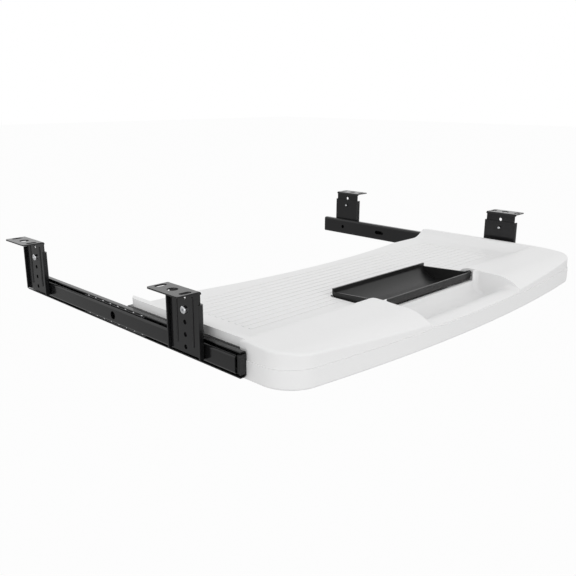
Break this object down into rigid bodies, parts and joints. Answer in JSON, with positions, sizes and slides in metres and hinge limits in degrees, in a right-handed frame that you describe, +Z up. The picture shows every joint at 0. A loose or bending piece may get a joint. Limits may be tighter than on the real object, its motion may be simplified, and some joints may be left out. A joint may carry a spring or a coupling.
{
  "type": "under-desk keyboard tray",
  "caption": "Keyboard tray that hangs under a desk on height-adjustable brackets and ball slides, with a raised palm rest and a tipping pencil tray.",
  "frame": {"origin": "on the plane of the desk's underside, in the middle of the four bracket flanges", "axes": "+X to the user's right, +Y towards the back of the desk, +Z up into the desk; the tray hangs below z = 0 and is stored pushed in"},
  "size_m": [0.65, 0.4922, 0.077],
  "materials": {
    "black_enamel": "semi-gloss black enamel on sheet steel",
    "zinc_steel": "bright zinc-plated screws and rivets",
    "ball_steel": "polished bearing balls",
    "cage_plastic": "dark ball cage",
    "bumper_rubber": "soft black closing bumper",
    "white_plastic": "satin white moulded plastic",
    "black_plastic": "satin black moulded plastic"
  },
  "bodies": {
    "desk_side": {"upper_bracket_front_left": "black_enamel", "upper_bracket_front_right": "black_enamel", "upper_bracket_rear_left": "black_enamel", "upper_bracket_rear_right": "black_enamel", "lower_bracket_front_left": "black_enamel", "lower_bracket_front_right": "black_enamel", "lower_bracket_rear_left": "black_enamel", "lower_bracket_rear_right": "black_enamel", "fixed_rail_left": "black_enamel", "fixed_rail_right": "black_enamel", "clamp_screws": "zinc_steel", "rail_rivets": "zinc_steel"},
    "tray": {"moving_rail_left": "black_enamel", "moving_rail_right": "black_enamel", "closing_bumper_left": "bumper_rubber", "closing_bumper_right": "bumper_rubber", "support_angle_left": "black_enamel", "support_angle_right": "black_enamel", "angle_rivets": "zinc_steel", "rim_screws": "zinc_steel", "deck": "white_plastic", "base": "white_plastic", "base_screws": "zinc_steel", "pencil_pins": "black_plastic"},
    "cage_left": {"ball_cage_left": "cage_plastic", "balls_left": "ball_steel"},
    "cage_right": {"ball_cage_right": "cage_plastic", "balls_right": "ball_steel"},
    "pencil_tray": {"pencil_tray": "black_plastic"}
  },
  "joints": [
    {"name": "tray_slide", "type": "slide", "parent": "desk_side", "child": "tray", "axis": [0, -1, 0], "range_m": [0, 0.254]},
    {"name": "cage_left_slide", "type": "slide", "parent": "desk_side", "child": "cage_left", "axis": [0, -1, 0], "range_m": [0, 0.1275]},
    {"name": "cage_right_slide", "type": "slide", "parent": "desk_side", "child": "cage_right", "axis": [0, -1, 0], "range_m": [0, 0.1275]},
    {"name": "pencil_tray_hinge", "type": "hinge", "parent": "tray", "child": "pencil_tray", "pos_m": [0, -0.223, -0.0454], "axis": [1, 0, 0], "range_deg": [0, 70]}
  ],
  "couplings": [
    {"joint": "cage_left_slide", "follows": "tray_slide", "ratio": 0.5},
    {"joint": "cage_right_slide", "follows": "tray_slide", "ratio": 0.5}
  ]
}
